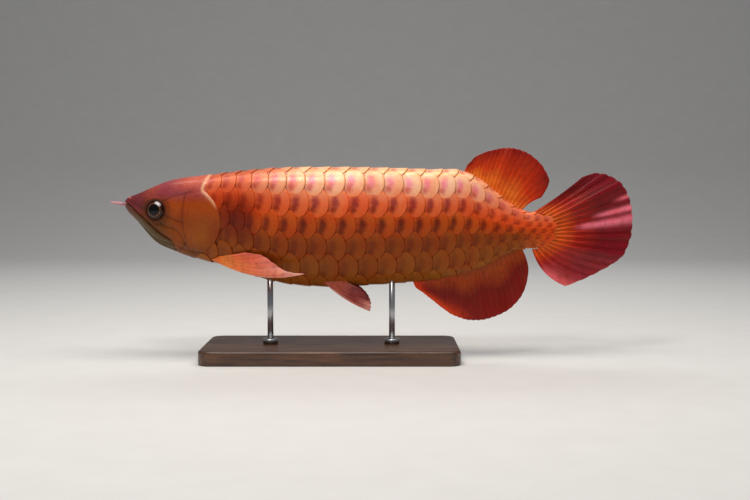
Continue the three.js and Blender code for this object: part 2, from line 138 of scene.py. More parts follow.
back_power = line((0, 2.1), (30, 3), (90, 2.9), (160, 2.5), (300, 2.2), (428, 2.2))
belly_power = line((0, 2), (40, 1.75), (90, 1.6), (200, 1.45), (290, 1.5), (380, 1.9), (428, 2.1))


def rounded_tail(s, h):
    """Pulls the end of the body in to the arc where the tail fin's rays begin."""
    reach = TAIL_BASE["reach"]
    high = np.minimum(np.abs(h - TAIL_BASE["h"]) / reach, 0.95)
    share = reach * np.sqrt(1 - high**2) / (BODY_END - TAIL_BASE["s"])
    return s + np.maximum(s - TAIL_BASE["s"], 0) * (share - 1)


class Body:
    """The body's surface by s and w. w runs round the section by its length: 0 along the back,
    positive on the fish's right and negative on its left, and 1 or -1 along the belly."""

    STEP = 0.5
    ACROSS = 192
    ANGLES = 400

    def __init__(self):
        s = np.arange(0.05, BODY_END + self.STEP, self.STEP)
        left = 1 - np.minimum(s / NOSE_ROUNDING, 1)
        nose = np.sqrt(np.maximum(0, 1 - left * left))
        top = (TIP_HEIGHT + (back_line(s) - TIP_HEIGHT) * nose)[:, None]
        bottom = (TIP_HEIGHT + (belly_line(s) - TIP_HEIGHT) * nose)[:, None]
        middle = bottom + (top - bottom) * widest_share(s)[:, None]
        angle = math.pi / 2 * np.cos(math.pi * np.linspace(0, 1, self.ANGLES))[None]
        upper = angle >= 0
        power = np.where(upper, back_power(s)[:, None], belly_power(s)[:, None])
        rise = np.abs(np.sin(angle)) ** (2 / power)
        y = (half_width(s) * nose)[:, None] * np.cos(angle) ** (2 / power)
        h = np.where(upper, middle + (top - middle) * rise, middle - (middle - bottom) * rise)
        run = np.cumsum(np.hypot(np.diff(y, axis=1), np.diff(h, axis=1)), axis=1)
        run = np.hstack([np.zeros((len(s), 1)), run])
        self.first = s[0]
        self.half_round = run[:, -1]
        even = np.linspace(0, 1, self.ACROSS + 1)
        self.y = np.array([np.interp(even * r[-1], r, v) for r, v in zip(run, y)])
        self.h = np.array([np.interp(even * r[-1], r, v) for r, v in zip(run, h)])

    def at(self, s, w):
        """Points of the surface, in fish coordinates."""
        s, w = np.broadcast_arrays(np.asarray(s, float), np.asarray(w, float))
        w = (w + 1) % 2 - 1
        i = np.clip((s - self.first) / self.STEP, 0, len(self.y) - 1.001)
        j = np.clip(np.abs(w) * self.ACROSS, 0, self.ACROSS - 1e-6)
        i0, j0 = i.astype(int), j.astype(int)
        fi, fj = i - i0, j - j0

        def read(table):
            near = table[i0, j0] * (1 - fj) + table[i0, j0 + 1] * fj
            far = table[i0 + 1, j0] * (1 - fj) + table[i0 + 1, j0 + 1] * fj
            return near * (1 - fi) + far * fi

        side = np.where(w < 0, -1.0, 1.0)
        h = read(self.h)
        return np.stack([rounded_tail(s, h), side * read(self.y), h], -1)

    def normal(self, s, w):
        along = self.at(s + 1.5, w) - self.at(np.maximum(s - 1.5, self.first), w)
        across = self.at(s, w + 0.012) - self.at(s, w - 0.012)
        out = np.cross(along, across)
        return out / np.maximum(np.linalg.norm(out, axis=-1, keepdims=True), 1e-9)

    def raised(self, s, w, lift):
        return self.at(s, w) + self.normal(s, w) * np.asarray(lift)[..., None]

    def length_round(self, s):
        return np.interp(s, self.first + self.STEP * np.arange(len(self.half_round)), self.half_round)

    def reach(self, s, h):
        """Half width on the side at a place seen from the side."""
        w = np.linspace(0, 1, 400)
        p = self.at(np.full(400, s), w)
        return float(np.interp(-h, -p[:, 2], p[:, 1]))


body = Body()


def curve(knots, count=60, closed=False):
    """Points along a smooth curve through 2-D knots."""
    knots = np.array(knots, float)
    if closed:
        ring = np.vstack([knots[-1:], knots, knots[:2]])
    else:
        ring = np.vstack([2 * knots[0] - knots[1], knots, 2 * knots[-1] - knots[-2]])
    spans = len(ring) - 3
    t = np.linspace(0, spans, count)
    i = np.minimum(t.astype(int), spans - 1)
    f = (t - i)[:, None]
    a, b, c, d = (ring[i + k] for k in range(4))
    return b + f * (c - a) / 2 + f**2 * (a - 2.5 * b + 2 * c - d / 2) + f**3 * (1.5 * (b - c) + (d - a) / 2)


def distance(points, path):
    """Distance from each 2-D point to a path, and how far along the path that is, from 0 to 1."""
    best = np.full(len(points), np.inf)
    along = np.zeros(len(points))
    steps = len(path) - 1
    for k in range(steps):
        a, b = path[k], path[k + 1]
        t = np.clip((points - a) @ (b - a) / max((b - a) @ (b - a), 1e-9), 0, 1)
        gap = np.linalg.norm(points - a - t[:, None] * (b - a), axis=1)
        nearer = gap < best
        best[nearer] = gap[nearer]
        along[nearer] = (k + t[nearer]) / steps
    return best, along


def inside(points, outline):
    """Distance inside a closed outline, negative outside."""
    x, y = points.T
    crossings = np.zeros(len(points), bool)
    for a, b in zip(outline, np.roll(outline, -1, axis=0)):
        if a[1] != b[1]:
            reach = a[0] + (y - a[1]) * (b[0] - a[0]) / (b[1] - a[1])
            crossings ^= ((a[1] > y) != (b[1] > y)) & (x < reach)
    gap, _ = distance(points, np.vstack([outline, outline[:1]]))
    return np.where(crossings, gap, -gap)


# Side lines of the head, in s and h.
GILL_EDGE = curve([
    (91, 70), (86.5, 53), (81, 39), (85, 33.5), (91.5, 26), (95.7, 15), (96.7, 3), (93, -9),
    (84, -19.5), (72, -27), (64, -37),
], 80)
GILL_COVER = curve([
    (66.5, 31), (77, 36.5), (83.5, 32.5), (90, 25), (94, 14), (94.9, 3), (91.5, -8), (82, -17.8),
    (71, -22), (67.5, -8), (65.5, 12),
], 90, closed=True)
MAXILLA = curve([
    (8, 22.2), (19, 13.6), (31, 3.2), (43, -6), (49, -9), (52.5, -6.4), (49, -0.6), (38, 3.2),
    (27, 8), (18, 16.2),
], 70, closed=True)
GAPE = curve([
    (-8, 25.5), (3, 24.4), (12, 17.5), (24, 6.5), (36, -4.5), (47, -12.5), (51, -24), (50, -34),
], 60)
CREASES = [
    # Borders of the cheek plates, and the front edge of the preopercle.
    curve([(43, 13), (50, 9.5), (60, 6)], 16),
    curve([(41, 26), (50, 31), (60, 33.5), (68, 35.5)], 20),
    curve([(35, 7.5), (42, 2.5), (50, 0.5), (57, -6), (60, -14)], 24),
    curve([(63, 33), (60.5, 22), (59.5, 8), (60.5, -5), (62, -14), (56, -20), (47, -21)], 40),
    curve([(24, 19), (17, 21.5), (11, 24.5)], 12),
    curve([(60, -14), (66, -22), (76, -24)], 14),
    curve([(14, 6), (28, -9), (42, -18), (54, -23)], 24),
]
PORE_LINES = [
    (curve([(12, 11), (26, -4.5), (40, -15), (50, -20)], 20), 8),
    (curve([(57.5, 27), (56.5, 12), (57.5, -4), (57, -13)], 20), 6),
    (curve([(20, 14.5), (26, 7.4), (35, 4.2), (43, 7.5), (46.5, 15), (46, 24)], 30), 9),
    (curve([(12, 29), (22, 32.5), (34, 35.5), (48, 39), (62, 43)], 30), 9),
]
# On the underside, in s and y.
THROAT = [
    curve([(10, 0), (30, 0), (62, 0)], 20),
    curve([(10, 3.2), (30, 6.4), (52, 8.4), (70, 8)], 24),
]


def behind_gill(points):
    """Signed distance behind the edge of the gill cover and nape."""
    gap, _ = distance(points, GILL_EDGE)
    order = np.argsort(GILL_EDGE[:, 1])
    edge = np.interp(points[:, 1], GILL_EDGE[order, 1], GILL_EDGE[order, 0])
    return np.where(points[:, 0] > edge, gap, -gap)


def dip(gap, depth, width):
    return -depth * bell(gap, width)


def head_relief(p):
    """Height of the head's folds, plates and pores over the plain body, in mm."""
    side = p[:, [0, 2]]
    under = np.stack([p[:, 0], np.abs(p[:, 1])], 1)
    relief = np.zeros(len(p))
    for path in CREASES:
        gap, _ = distance(side, path)
        relief += dip(gap, 0.42, 0.55) + dip(gap, 0.3, 2.2)
    for path, count in PORE_LINES:
        for x, h in path[np.linspace(0, len(path) - 1, count).astype(int)]:
            relief += dip(np.hypot(side[:, 0] - x, side[:, 1] - h), 0.55, 0.55)
    cover = inside(side, GILL_COVER)
    ribs = np.sin(34 * np.arctan2(side[:, 1] - 29, side[:, 0] - 62))
    relief += 0.75 * step(cover, -0.2, 3.5) + 0.05 * ribs * step(cover, 1, 7)
    relief += 0.55 * step(inside(side, MAXILLA), -0.2, 1.6)
    gap, along = distance(side, GAPE)
    open_share = fade(along, 0.66, 0.82)
    relief += (dip(gap, 1.7, 0.5) + dip(gap, 0.5, 1.5)) * (0.25 + 0.75 * open_share)
    relief -= dip(gap - 1.9, 0.32, 0.8) * open_share
    below = p[:, 2] < belly_line(p[:, 0]) + 9
    for path in THROAT:
        gap, _ = distance(under, path)
        relief += np.where(below, dip(gap, 0.7, 0.7) + dip(gap, 0.3, 2.0), 0)
    ring = np.hypot(side[:, 0] - EYE["s"], side[:, 1] - EYE["h"])
    relief += dip(np.maximum(ring - 6.5, 0), 2.6, 2.1)
    relief -= dip(ring - 11.2, 0.4, 1.4)
    relief += dip(ring - 13.6, 0.25, 1.0)
    return relief


HEAD_REACH = 14


def skin_relief(p):
    """Height of the skin over the plain body: folds on the head, and the coat's depth behind it."""
    side = p[:, [0, 2]]
    edge = behind_gill(side)
    relief = np.full(len(p), -COAT_DEPTH)
    near = edge < HEAD_REACH
    gilled = fade(p[near, 2], 30, 42) * step(p[near, 2], -33, -22)
    tuck = dip(np.maximum(edge[near], 0), 1.0, 6.0) * gilled
    head = np.zeros(near.sum())
    is_head = edge[near] < 1
    head[is_head] = head_relief(p[near][is_head])
    lip = -dip(edge[near] + 1.2, 0.35, 1.3) * gilled
    share = step(edge[near], -0.7, 0.6) * gilled + step(edge[near], -3, 3) * (1 - gilled)
    relief[near] = (head + lip) * (1 - share) + (-COAT_DEPTH + tuck) * share
    return relief, edge


def srgb(code):
    """A colour written as in a paint chart, as linear light."""
    parts = np.array([int(code[i:i + 2], 16) for i in (0, 2, 4)]) / 255
    return np.where(parts <= 0.04045, parts / 12.92, ((parts + 0.055) / 1.055) ** 2.4)


def gradient(*stops):
    """Linear colours through (at, code) stops."""
    at = [a for a, _ in stops]
    codes = np.array([srgb(c) for _, c in stops])
    return lambda x: np.stack([np.interp(x, at, codes[:, k]) for k in range(3)], -1)


# Colours of skin and coat. Bands run along the fish from the back at 0 to the belly at 1, for the
# rims of the scales and for their cores, and washes of one colour change them by region. The pale
# cream back is partly the fish's colour and partly a painted highlight from light above, the darker
# lower flank is partly painted shade, and SHADE_TINT is painted shade on the flank behind the gill cover.
RIM_BANDS = gradient(
    (0, "ffd0a0"), (0.15, "ffd0a8"), (0.35, "f07040"), (0.5, "c05010"), (0.65, "904008"),
    (1, "985818"),
)
CORE_BANDS = gradient(
    (0, "ffc0a0"), (0.12, "ffa8b8"), (0.22, "f08890"), (0.32, "b04840"), (0.45, "702010"),
    (0.65, "783008"), (1, "8c5018"),
)
CORE_DEPTH = 0.7
WASH_FROM = 112
WASH_TO = 180
NAPE_WASH = srgb("c86848")
GILL_WASH = srgb("d84808")
TAIL_WASH = srgb("ec5820")
SHADE_TINT = srgb("601008")


def coat_tints(s, q):
    """Colours of the scales' rims and cores at places along the fish and round it."""
    front = fade(s, WASH_FROM, WASH_TO)
    high = fade(q, 0.38, 0.6)
    rear = np.maximum(step(s, 310, 395) * high, step(s, 380, 425))
    shade = 0.85 * np.exp(-(((s - 111) / 19) ** 4) - ((q - 0.5) / 0.17) ** 4)
    found = []
    for bands, depth in ((RIM_BANDS, 1.0), (CORE_BANDS, CORE_DEPTH)):
        tint = mix(bands(q), GILL_WASH * depth, 0.75 * front * high)
        tint = mix(tint, NAPE_WASH * depth, 0.8 * front * fade(q, 0.05, 0.25))
        tint = mix(tint, TAIL_WASH * depth, 0.8 * rear)
        found.append(mix(tint, SHADE_TINT, shade))
    return found


def head_tint(p, edge):
    """Colours of the bare head by place."""
    s, h = p[:, 0], p[:, 2]
    up = (h - belly_line(s)) / (back_line(s) - belly_line(s))
    gap, along = distance(p[:, [0, 2]], GAPE)
    jaw_side = np.interp(s, GAPE[:, 0], GAPE[:, 1])
    jaw = step(jaw_side - h, -1, 2.5) * fade(s, 46, 64)
    ring = np.hypot(s - EYE["s"], h - EYE["h"])
    washes = [
        # Cheek, crown and nape, then the gill cover, the lower face and the snout.
        ("a84610", step(up, 0.45, 0.62)),
        ("94404a", step(up, 0.66, 0.84) * step(s, 12, 45)),
        ("c6604e", step(up, 0.74, 0.95) * step(s, 42, 70)),
        ("9c5208", np.exp(-(((s - 78) / 12) ** 2) - ((h + 8) / 13) ** 2) * 0.8),
        ("5c3e16", 0.8 * fade(s, 34, 58) * fade(h, 4, 18)),
        ("743038", fade(s, 16, 34) * step(h, 8, 22)),
        # The jaw's side and tip, the throat, a painted highlight along the gill cover's upper edge and
        # painted shade in the gape.
        ("54462a", jaw * 0.92),
        ("66382e", jaw * fade(s, 4, 20) * 0.8),
        ("644018", fade(up, 0.02, 0.26) * step(s, 40, 64) * 0.8),
        ("f0b087", bell(edge + 1.2, 1.5) * step(h, 17, 27) * 0.9),
        ("52200f", bell(gap, 1.1) * fade(along, 0.6, 0.85) * 0.7),
        # Painted shade round the eye, darkest at the eye's socket.
        ("4a2410", 0.75 * fade(ring, 9, 19) * fade(up, 0.72, 0.86)),
        ("34100a", fade(ring, 8.8, 11.8) * 0.8),
    ]
    tint = np.tile(srgb("944006"), (len(p), 1))
    for code, share in washes:
        tint = mix(tint, srgb(code), share)
    # Painted shade: the head darkens along its creases.
    for path in CREASES:
        gap, _ = distance(p[:, [0, 2]], path)
        tint = mix(tint, tint * 0.55, bell(gap, 1.0) * 0.7)
    return tint


def skin_tint(p, w, edge):
    q = np.abs((w + 1) % 2 - 1)
    rim, core = coat_tints(p[:, 0], q)
    tint = mix(rim, core, np.full(len(p), 0.5))
    near = edge < 4
    tint[near] = mix(head_tint(p[near], edge[near]), tint[near], step(edge[near], -0.5, 1.5))
    return tint


# Meshes.
def grid_faces(rows, columns, closed):
    """Quads over a grid of points, joined round its columns where closed."""
    wide = columns if closed else columns - 1
    a = (np.arange(rows - 1)[:, None] * columns + np.arange(wide)[None]).ravel()
    b = (np.arange(rows - 1)[:, None] * columns + (np.arange(wide)[None] + 1) % columns).ravel()
    return np.stack([a, b, b + columns, a + columns], 1)


def border(rows, columns):
    """The outer points of a grid, in order round it."""
    return np.concatenate([
        np.arange(columns),
        columns * np.arange(1, rows) + columns - 1,
        (rows - 1) * columns + np.arange(columns - 2, -1, -1),
        columns * np.arange(rows - 2, 0, -1),
    ])


def capped(rows, columns):
    """Faces over a grid of points, joined round its columns, with a cap at either end."""
    first = list(range(columns))
    last = [(rows - 1) * columns + k for k in first]
    return grid_faces(rows, columns, True).tolist() + [first[::-1], last]


def flipped(faces):
    return [face[::-1] for face in faces]


LAYERS = {
    "colours": ("FLOAT_COLOR", "color"),
    "numbers": ("FLOAT", "value"),
    "vectors": ("FLOAT_VECTOR", "vector"),
}


def add_piece(name, points, faces, material, slot, replaced=(), uv=None, **layers):
    """A smooth mesh object from points in metres, riding on the model in place of some nodes. Its
    layers are values at its points, by kind and name."""
    mesh = bpy.data.meshes.new(name)
    mesh.from_pydata(np.asarray(points).tolist(), [], [list(map(int, f)) for f in faces])
    for kind, named in layers.items():
        data_type, field = LAYERS[kind]
        for key, values in named.items():
            if kind == "colours":
                values = np.hstack([values, np.ones((len(values), 1))])
            attribute = mesh.attributes.new(key, data_type, "POINT")
            attribute.data.foreach_set(field, values.astype(np.float32).ravel())
    if uv is not None:
        corners = np.zeros(len(mesh.loops), np.int32)
        mesh.loops.foreach_get("vertex_index", corners)
        mesh.uv_layers.new(name="OFBake").data.foreach_set("uv", uv[corners].astype(np.float32).ravel())
    mesh.polygons.foreach_set("use_smooth", np.ones(len(mesh.polygons), bool))
    mesh.materials.append(material)
    mesh.update()
    mesh.validate()
    piece = bpy.data.objects.new(name, mesh)
    bpy.context.scene.collection.objects.link(piece)
    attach(piece, "root")
    if replaced:
        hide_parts(*replaced)
    return piece


def make_piece(name, points, *rest, **layers):
    """The same, from points in fish coordinates."""
    return add_piece(name, world(points), *rest, **layers)


# Materials.
class Nodes:
    """A material's node tree, with short calls for the nodes used here."""

    def __init__(self, name):
        self.material = bpy.data.materials.new(name)
        self.material.use_nodes = True
        self.tree = self.material.node_tree
        self.shader = self.tree.nodes["Principled BSDF"]

    def put(self, socket, value):
        if isinstance(value, bpy.types.NodeSocket):
            self.tree.links.new(value, socket)
        elif value is not None:
            socket.default_value = value

    def node(self, kind, values, output=0, **settings):
        made = self.tree.nodes.new(kind)
        for key, setting in settings.items():
            setattr(made, key, setting)
        for key, value in values.items():
            self.put(made.inputs[key], value)
        return made.outputs[output]

    def set(self, **values):
        for key, value in values.items():
            self.put(self.shader.inputs[key.replace("_", " ")], value)

    def attribute(self, name, output="Color"):
        return self.node("ShaderNodeAttribute", {}, output, attribute_name=name)

    def place(self, scale=(1, 1, 1)):
        where = self.node("ShaderNodeTexCoord", {}, "Object")
        return self.node("ShaderNodeVectorMath", {0: where, 1: scale}, operation="MULTIPLY")

    def math(self, operation, a, b=0.0):
        return self.node("ShaderNodeMath", {0: a, 1: b}, operation=operation)

    def plus(self, a, b):
        return self.math("ADD", a, b)

    def times(self, a, b):
        return self.math("MULTIPLY", a, b)

    def wave(self, value, count):
        return self.math("SINE", self.times(value, count))

    def split(self, vector):
        parts = self.tree.nodes.new("ShaderNodeSeparateXYZ")
        self.put(parts.inputs[0], vector)
        return parts.outputs

    def length(self, a):
        return self.node("ShaderNodeVectorMath", {0: a}, "Value", operation="LENGTH")

    def noise(self, place, scale, detail=4.0, rough=0.55):
        values = {"Vector": place, "Scale": scale, "Detail": detail, "Roughness": rough}
        return self.node("ShaderNodeTexNoise", values, "Fac")

    def ramp(self, value, low, high, to_low=0.0, to_high=1.0):
        values = {"Value": value, "From Min": low, "From Max": high, "To Min": to_low, "To Max": to_high}
        return self.node("ShaderNodeMapRange", values, interpolation_type="SMOOTHSTEP")

    def blend(self, share, a, b, how="MIX"):
        made = self.tree.nodes.new("ShaderNodeMix")
        made.data_type = "RGBA"
        made.blend_type = how
        self.put(made.inputs[0], share)
        self.put(made.inputs[6], a)
        self.put(made.inputs[7], b)
        return made.outputs[2]

    def stain(self, share, tint, code, gain=1.0, source=None):
        """A tint with a share of itself, or of another source, multiplied by a colour."""
        stained = self.blend(1.0, tint if source is None else source, rgba(code, gain), "MULTIPLY")
        return self.blend(share, tint, stained)

    def bump(self, height, strength, depth=0.001, over=None):
        values = {"Height": height, "Strength": strength, "Distance": depth}
        if over is not None:
            values["Normal"] = over
        return self.node("ShaderNodeBump", values)


def rgba(code, gain=1.0):
    return (*(srgb(code) * gain), 1.0)


def skin_material():
    """Wet bare skin over bone: mottled, finely pitted and glossy."""
    n = Nodes("arowana_skin")
    place = n.place()
    broad = n.noise(place, 45, 5)
    fine = n.noise(place, 420, 4, 0.6)
    pits = n.node("ShaderNodeTexVoronoi", {"Vector": place, "Scale": 520.0}, "Distance")
    tint = n.attribute("tint")
    tint = n.stain(n.ramp(broad, 0.42, 0.72, 0, 0.5), tint, "e08a50")
    tint = n.stain(n.ramp(fine, 0.45, 0.75, 0, 0.35), tint, "b0603a")
    rough = n.ramp(fine, 0.3, 0.7, 0.26, 0.42)
    uneven = n.bump(n.plus(fine, n.times(pits, 0.6)), 0.25, 0.0006)
    n.set(Base_Color=tint, Roughness=rough, Normal=n.bump(broad, 0.12, 0.002, uneven))
    n.set(Coat_Weight=0.14, Coat_Roughness=0.12)
    n.set(Specular_IOR_Level=0.28, Specular_Tint=(1.0, 0.55, 0.38, 1.0))
    n.set(Subsurface_Weight=0.12, Subsurface_Scale=0.003, Subsurface_Radius=(1.0, 0.35, 0.2))
    return n.material


def scale_material():
    """A scale's dark core and bright rim, its rim edge partly a painted highlight and its lower front corner
    painted shade, with growth rings and a metallic sheen.
    """
    n = Nodes("arowana_scales")
    place = n.place()
    grain = n.noise(place, 260, 4)
    broad = n.noise(place, 60, 3)
    x, y, chance = n.split(n.attribute("local", "Vector"))
    wobble = n.times(n.math("SUBTRACT", grain, 0.5), 0.7)

    def spot(at, size, low, high):
        """1 in an oval about a place on the scale, falling to 0 round it."""
        offset = n.node("ShaderNodeCombineXYZ", {
            "X": n.math("DIVIDE", n.math("SUBTRACT", x, at[0]), size[0]),
            "Y": n.math("DIVIDE", n.math("SUBTRACT", y, at[1]), size[1]),
            "Z": 0.0,
        })
        return n.ramp(n.plus(n.length(offset), wobble), low, high, 1.0, 0.0)

    core = spot((-0.14, -0.04), (0.42, 0.56), 0.2, 1.3)
    # Painted shade at the scale's lower front corner, where its neighbours' edges meet.
    painted_corner_shade = spot((-0.34, 0.46), (0.38, 0.34), 0.1, 1.3)
    flat = n.node("ShaderNodeCombineXYZ", {"X": x, "Y": y, "Z": 0.0})
    rho = n.length(flat)
    # A gold edge near the rim, partly the scale's colour and partly a painted highlight.
    lip = n.ramp(n.plus(rho, n.times(wobble, 0.3)), 0.8, 0.98)
    tint = n.blend(core, n.attribute("rim"), n.attribute("core"))
    tint = n.stain(n.times(painted_corner_shade, 0.8), tint, "d8b09a", source=n.attribute("core"))
    tint = n.stain(n.times(lip, 0.55), tint, "ffd9a0", 1.25, n.attribute("rim"))
    tint = n.stain(n.ramp(broad, 0.4, 0.7, 0, 0.4), tint, "ff9a60")
    tint = n.stain(n.ramp(chance, 0.0, 1.0, 0.0, 0.22), tint, "c98a70")
    rings = n.wave(n.plus(rho, n.times(wobble, 0.1)), 40.0)
    fans = n.wave(n.math("ARCTAN2", y, n.plus(x, 1.4)), 34.0)
    relief = n.plus(n.times(rings, 0.5), n.times(fans, 0.3))
    normal = n.bump(n.plus(relief, n.times(grain, 1.2)), 0.09, 0.0003)
    n.set(Base_Color=tint, Roughness=n.ramp(grain, 0.3, 0.7, 0.24, 0.4), Normal=normal)
    n.set(Metallic=0.1, Coat_Weight=0.13, Coat_Roughness=0.1)
    n.set(Specular_IOR_Level=0.26, Specular_Tint=(1.0, 0.5, 0.3, 1.0))
    return n.material


def fin_material():
    """Fin web between raised rays, slightly see-through to light and finely jointed."""
    n = Nodes("arowana_fins")
    place = n.place()
    grain = n.noise(place, 180, 5, 0.6)
    broad = n.noise(place, 35, 3)
    tint = n.attribute("tint")
    tint = n.stain(n.ramp(grain, 0.42, 0.75, 0, 0.4), tint, "a04a50")
    tint = n.stain(n.ramp(broad, 0.45, 0.7, 0, 0.35), tint, "ffb070", 1.2)
    joints = n.times(n.wave(n.attribute("along", "Fac"), 330.0), n.attribute("ray", "Fac"))
    normal = n.bump(n.plus(n.times(joints, 0.5), grain), 0.3, 0.0003)
    n.set(Base_Color=tint, Roughness=n.ramp(grain, 0.3, 0.7, 0.3, 0.48), Normal=normal)
    n.set(Coat_Weight=0.12, Coat_Roughness=0.2, Specular_IOR_Level=0.3, Specular_Tint=(1.0, 0.5, 0.4, 1.0))
    n.set(Subsurface_Weight=0.25, Subsurface_Scale=0.004, Subsurface_Radius=(1.0, 0.3, 0.15))
    return n.material


def barbel_material():
    n = Nodes("arowana_barbels")
    place = n.place()
    grain = n.noise(place, 700, 4)
    tint = n.blend(n.attribute("along", "Fac"), rgba("7e4450"), rgba("c98a94"))
    tint = n.blend(n.ramp(grain, 0.4, 0.7, 0, 0.4), tint, rgba("e0a8a8"))
    n.set(Base_Color=tint, Roughness=n.ramp(grain, 0.3, 0.7, 0.35, 0.5))
    n.set(Normal=n.bump(grain, 0.3, 0.0003), Coat_Weight=0.3, Subsurface_Weight=0.2, Subsurface_Scale=0.002)
    return n.material


# Centre of the painted highlight on the eye's upper rear, across the eye.
EYE_HIGHLIGHT_SPOT = (0.4, 0.0, 0.66)
PUPIL = 0.6


def eye_material():
    """A wide black pupil, a thin gold ring and a dark red iris, with a pale silver painted highlight on its
    upper rear, under a wet surface.
    """
    n = Nodes("arowana_eye")
    across = n.attribute("across", "Vector")
    ring = n.length(across)
    level, _, upright = n.split(across)
    streak = n.wave(n.math("ARCTAN2", upright, level), 46.0)
    grain = n.noise(n.place(), 900, 4)
    uneven = n.plus(n.times(streak, 0.004), n.times(grain, 0.05))
    where = n.plus(ring, uneven)
    iris = n.blend(n.ramp(grain, 0.35, 0.7), rgba("1c0805"), rgba("401408"))
    gold = n.blend(grain, rgba("5a2c10"), rgba("94602c"))
    tint = n.blend(n.ramp(where, 0.68, 0.72), gold, iris)
    # Painted highlight: a pale silver patch on the iris's upper rear.
    off = n.node("ShaderNodeVectorMath", {0: across, 1: EYE_HIGHLIGHT_SPOT}, operation="SUBTRACT")
    painted_highlight = n.ramp(n.plus(n.length(off), n.times(grain, 0.1)), 0.2, 0.48, 1.0, 0.0)
    tint = n.blend(painted_highlight, tint, n.blend(grain, rgba("b9aeb0"), rgba("efe6e4")))
    tint = n.blend(n.ramp(where, PUPIL, PUPIL + 0.06), rgba("030202"), tint)
    tint = n.blend(n.ramp(where, 0.86, 0.95), tint, rgba("200c08"))
    n.set(Base_Color=tint, Roughness=n.ramp(where, 0.9, 1.1, 0.1, 0.3), Coat_Weight=0.4, Coat_Roughness=0.03)
    n.set(Specular_IOR_Level=0.1)
    return n.material


def wood_material():
    n = Nodes("walnut")
    place = n.place((1.0, 9.0, 9.0))
    warp = n.noise(n.place((2, 14, 14)), 6, 3)
    grain = n.noise(place, 22, 8, 0.65)
    lines = n.node("ShaderNodeTexWave", {
        "Vector": place, "Scale": 9.0, "Distortion": 7.0, "Detail": 3.0, "Detail Scale": 1.5,
    }, "Fac", bands_direction="Y")
    pores = n.noise(n.place((6, 220, 220)), 9, 2)
    tint = n.blend(n.ramp(lines, 0.2, 0.9), rgba("3a2013"), rgba("5e3a22"))
    tint = n.blend(n.ramp(grain, 0.35, 0.7, 0, 0.7), tint, rgba("2c180f"))
    tint = n.blend(n.ramp(warp, 0.45, 0.7, 0, 0.4), tint, rgba("74492b"))
    tint = n.blend(n.ramp(pores, 0.6, 0.72, 0, 0.7), tint, rgba("1a0e09"))
    n.set(Base_Color=tint, Roughness=n.ramp(grain, 0.3, 0.7, 0.34, 0.5))
    n.set(Normal=n.bump(n.math("SUBTRACT", grain, n.times(pores, 0.5)), 0.25, 0.0006))
    n.set(Coat_Weight=0.3, Coat_Roughness=0.25)
    return n.material


def steel_material(stretch):
    n = Nodes("brushed_steel")
    brushed = n.noise(n.place(stretch), 60, 6, 0.7)
    smears = n.noise(n.place(), 50, 3)
    tint = n.blend(n.ramp(brushed, 0.3, 0.7), rgba("a2a4a8"), rgba("c6c8ca"))
    rough = n.plus(n.ramp(brushed, 0.3, 0.7, 0.2, 0.34), n.times(smears, 0.06))
    n.set(Base_Color=tint, Metallic=1.0, Roughness=rough, Normal=n.bump(brushed, 0.15, 0.0002))
    return n.material


def floor_material():
    n = Nodes("pale_floor")
    grain = n.noise(n.place(), 30, 5)
    tint = n.blend(grain, rgba("d9d8d5"), rgba("e2e1df"))
    n.set(Base_Color=tint, Roughness=0.75)
    return n.material


SKIN = skin_material()
SCALES = scale_material()
FINS = fin_material()


# The skin, one closed mesh from snout to tail.
HEAD_STEP = 0.56
TRUNK_STEP = 2.3
HEAD_END = 100.0
SKIN_ROUND = 296


def make_skin():
    nose = body.first + (NOSE_ROUNDING - body.first) * np.linspace(0, 1, 12, endpoint=False) ** 1.8
    head = np.arange(NOSE_ROUNDING, HEAD_END, HEAD_STEP)
    trunk = np.arange(HEAD_END, BODY_END, TRUNK_STEP)
    stations = np.concatenate([nose, head, trunk, [BODY_END]])
    w = np.linspace(-1, 1, SKIN_ROUND, endpoint=False)
    s, w = (a.ravel() for a in np.meshgrid(stations, w, indexing="ij"))
    plain = body.at(s, w)
    relief, edge = skin_relief(plain)
    relief *= step(s, 0, 4)
    points = body.raised(s, w, relief)
    tint = skin_tint(plain, w, edge)
    faces = grid_faces(len(stations), SKIN_ROUND, True).tolist()
    last = len(points) - SKIN_ROUND
    nose_hub, tail_hub = len(points), len(points) + 1
    for k in range(SKIN_ROUND):
        after = (k + 1) % SKIN_ROUND
        faces.append([nose_hub, after, k])
        faces.append([tail_hub, last + k, last + after])
    points = np.vstack([points, points[:SKIN_ROUND].mean(0), points[last:].mean(0)])
    tint = np.vstack([tint, tint[:1], tint[-1:]])
    replaced = (
        "trunk", "tail", "head", "lower_jaw", "gill_cover_left", "gill_cover_right",
        "upper_jaw_plate_left", "upper_jaw_plate_right",
    )
    make_piece("skin", points, faces, SKIN, "skin", replaced, colours={"tint": tint})


# The scales: joined shields on a staggered lattice over the skin.
ROWS = [0.0, 0.185, 0.345, 0.505, 0.665, 0.83, 1.0]
ROW_SHIFT = [0.1, 0.34, 0.03, -0.1, -0.1, 0.0, 0.0]
row_pitch = line((0, 0.185), (0.345, 0.16), (0.665, 0.162), (1, 0.17))
column_pitch = line(
    (70, 14), (110, 14.5), (150, 16.8), (200, 19), (250, 18.6), (300, 16.6), (345, 14.2), (428, 10),
)
FIRST_COLUMN = 227.2
SCALE_GRID = (15, 17)
MAP_SHRINK = 0.9
MAP_MARGIN = 0.05
PATCH_FILL = 0.95
SCALE_BEFORE = 0.5
SCALE_BEHIND = 0.62
SCALE_HALF = 0.66
SCALE_LIFT = 0.95
SCALE_THICK = 0.2
UNDER_INSET = 0.03
PATCH_TOP = 0.84
PATCH_RIM = 0.9


